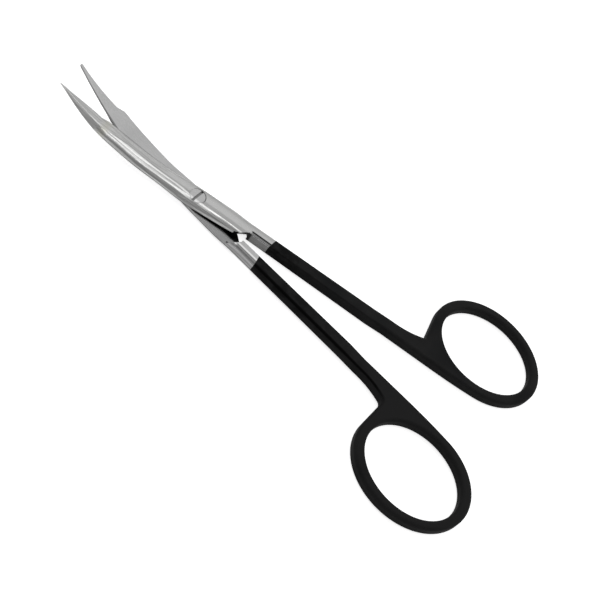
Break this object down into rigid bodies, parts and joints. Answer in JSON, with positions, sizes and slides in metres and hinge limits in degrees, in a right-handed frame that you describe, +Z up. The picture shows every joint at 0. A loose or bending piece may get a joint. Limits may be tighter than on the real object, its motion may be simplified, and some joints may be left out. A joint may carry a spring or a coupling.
{
  "type": "tenotomy scissors",
  "caption": "Curved tenotomy scissors with slender ground tips, satin steel blades, a slotted pivot screw and black-coated handles.",
  "frame": {"origin": "on the pivot axis, in the plane of the table the scissors lie on", "axes": "+X along the middle of the scissors towards the blade tips, +Y towards the lower half's finger ring, +Z up along the pivot axis, the side the blades curve to"},
  "size_m": [0.1144, 0.0612, 0.0063],
  "materials": {
    "satin_steel": "satin",
    "screw_steel": "satin"
  },
  "bodies": {
    "lower_body": {"lower_half": "satin_steel", "pivot_screw": "screw_steel"},
    "upper_body": {"upper_half": "satin_steel"}
  },
  "joints": [
    {"name": "pivot", "type": "hinge", "parent": "lower_body", "child": "upper_body", "pos_m": [0, 0, 0], "axis": [0, 0, 1], "range_deg": [-11.7, 50]}
  ]
}
